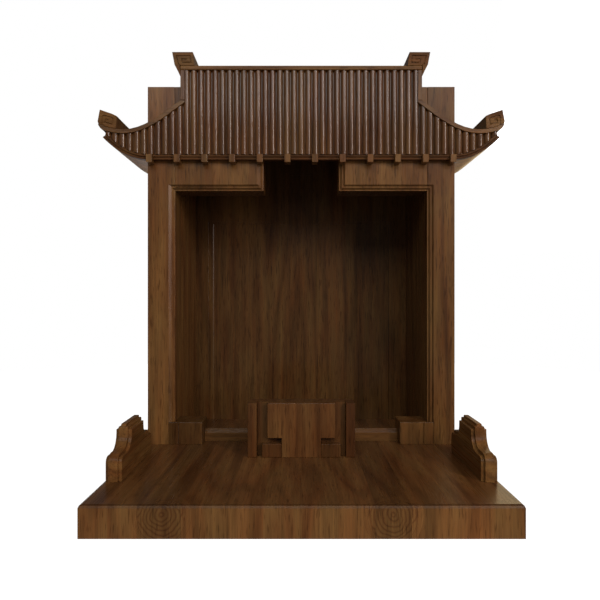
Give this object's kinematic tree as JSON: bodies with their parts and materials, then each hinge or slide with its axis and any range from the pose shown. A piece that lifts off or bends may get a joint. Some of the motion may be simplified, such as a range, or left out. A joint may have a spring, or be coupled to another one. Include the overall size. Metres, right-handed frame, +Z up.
{
  "type": "household altar cabinet",
  "caption": "Open wooden household altar cabinet: a niche under a reeded, upturned roof front, on a broad base slab with a small pedestal and stepped side wings.",
  "frame": {"origin": "centre of the base slab's underside", "axes": "+Z up; -Y is the open front; +X is the cabinet's right when seen from the front"},
  "size_m": [0.6098, 0.48, 0.6271],
  "materials": {
    "base_slab_walnut": "clear semi-gloss lacquer on dark walnut",
    "side_panel_left_walnut": "clear semi-gloss lacquer on dark walnut",
    "side_panel_right_walnut": "clear semi-gloss lacquer on dark walnut",
    "back_panel_walnut": "clear semi-gloss lacquer on dark walnut",
    "top_panel_walnut": "clear semi-gloss lacquer on dark walnut",
    "stile_left_walnut": "clear semi-gloss lacquer on dark walnut",
    "stile_right_walnut": "clear semi-gloss lacquer on dark walnut",
    "spandrel_left_walnut": "clear semi-gloss lacquer on dark walnut",
    "spandrel_right_walnut": "clear semi-gloss lacquer on dark walnut",
    "head_rail_walnut": "clear semi-gloss lacquer on dark walnut",
    "corner_block_left_walnut": "clear semi-gloss lacquer on dark walnut",
    "corner_block_right_walnut": "clear semi-gloss lacquer on dark walnut",
    "sill_rail_walnut": "clear semi-gloss lacquer on dark walnut",
    "roof_front_panel_walnut": "clear semi-gloss lacquer on dark walnut",
    "eave_fascia_walnut": "clear semi-gloss lacquer on dark walnut",
    "rafter_end_01_walnut": "clear semi-gloss lacquer on dark walnut",
    "rafter_end_02_walnut": "clear semi-gloss lacquer on dark walnut",
    "rafter_end_03_walnut": "clear semi-gloss lacquer on dark walnut",
    "rafter_end_04_walnut": "clear semi-gloss lacquer on dark walnut",
    "rafter_end_05_walnut": "clear semi-gloss lacquer on dark walnut",
    "rafter_end_06_walnut": "clear semi-gloss lacquer on dark walnut",
    "rafter_end_07_walnut": "clear semi-gloss lacquer on dark walnut",
    "rafter_end_08_walnut": "clear semi-gloss lacquer on dark walnut",
    "rafter_end_09_walnut": "clear semi-gloss lacquer on dark walnut",
    "rafter_end_10_walnut": "clear semi-gloss lacquer on dark walnut",
    "rafter_end_11_walnut": "clear semi-gloss lacquer on dark walnut",
    "rafter_end_12_walnut": "clear semi-gloss lacquer on dark walnut",
    "ridge_board_walnut": "clear semi-gloss lacquer on dark walnut",
    "gable_board_left_walnut": "clear semi-gloss lacquer on dark walnut",
    "gable_board_right_walnut": "clear semi-gloss lacquer on dark walnut",
    "ridge_back_panel_walnut": "clear semi-gloss lacquer on dark walnut",
    "hip_border_left_walnut": "clear semi-gloss lacquer on dark walnut",
    "hip_border_right_walnut": "clear semi-gloss lacquer on dark walnut",
    "roof_flank_left_walnut": "clear semi-gloss lacquer on dark walnut",
    "roof_flank_right_walnut": "clear semi-gloss lacquer on dark walnut",
    "ridge_finial_left_walnut": "clear semi-gloss lacquer on dark walnut",
    "ridge_finial_right_walnut": "clear semi-gloss lacquer on dark walnut",
    "eave_finial_left_walnut": "clear semi-gloss lacquer on dark walnut",
    "eave_finial_right_walnut": "clear semi-gloss lacquer on dark walnut",
    "pedestal_core_walnut": "clear semi-gloss lacquer on dark walnut",
    "pedestal_front_walnut": "clear semi-gloss lacquer on dark walnut",
    "pedestal_side_left_walnut": "clear semi-gloss lacquer on dark walnut",
    "pedestal_side_right_walnut": "clear semi-gloss lacquer on dark walnut",
    "pedestal_foot_left_walnut": "clear semi-gloss lacquer on dark walnut",
    "pedestal_foot_right_walnut": "clear semi-gloss lacquer on dark walnut",
    "wing_left_walnut": "clear semi-gloss lacquer on dark walnut",
    "wing_right_walnut": "clear semi-gloss lacquer on dark walnut"
  },
  "bodies": {
    "root": {"base_slab": "base_slab_walnut", "side_panel_left": "side_panel_left_walnut", "side_panel_right": "side_panel_right_walnut", "back_panel": "back_panel_walnut", "top_panel": "top_panel_walnut", "stile_left": "stile_left_walnut", "stile_right": "stile_right_walnut", "spandrel_left": "spandrel_left_walnut", "spandrel_right": "spandrel_right_walnut", "head_rail": "head_rail_walnut", "corner_block_left": "corner_block_left_walnut", "corner_block_right": "corner_block_right_walnut", "sill_rail": "sill_rail_walnut", "roof_front_panel": "roof_front_panel_walnut", "eave_fascia": "eave_fascia_walnut", "rafter_end_01": "rafter_end_01_walnut", "rafter_end_02": "rafter_end_02_walnut", "rafter_end_03": "rafter_end_03_walnut", "rafter_end_04": "rafter_end_04_walnut", "rafter_end_05": "rafter_end_05_walnut", "rafter_end_06": "rafter_end_06_walnut", "rafter_end_07": "rafter_end_07_walnut", "rafter_end_08": "rafter_end_08_walnut", "rafter_end_09": "rafter_end_09_walnut", "rafter_end_10": "rafter_end_10_walnut", "rafter_end_11": "rafter_end_11_walnut", "rafter_end_12": "rafter_end_12_walnut", "ridge_board": "ridge_board_walnut", "gable_board_left": "gable_board_left_walnut", "gable_board_right": "gable_board_right_walnut", "ridge_back_panel": "ridge_back_panel_walnut", "hip_border_left": "hip_border_left_walnut", "hip_border_right": "hip_border_right_walnut", "roof_flank_left": "roof_flank_left_walnut", "roof_flank_right": "roof_flank_right_walnut", "ridge_finial_left": "ridge_finial_left_walnut", "ridge_finial_right": "ridge_finial_right_walnut", "eave_finial_left": "eave_finial_left_walnut", "eave_finial_right": "eave_finial_right_walnut", "pedestal_core": "pedestal_core_walnut", "pedestal_front": "pedestal_front_walnut", "pedestal_side_left": "pedestal_side_left_walnut", "pedestal_side_right": "pedestal_side_right_walnut", "pedestal_foot_left": "pedestal_foot_left_walnut", "pedestal_foot_right": "pedestal_foot_right_walnut", "wing_left": "wing_left_walnut", "wing_right": "wing_right_walnut"}
  },
  "joints": []
}
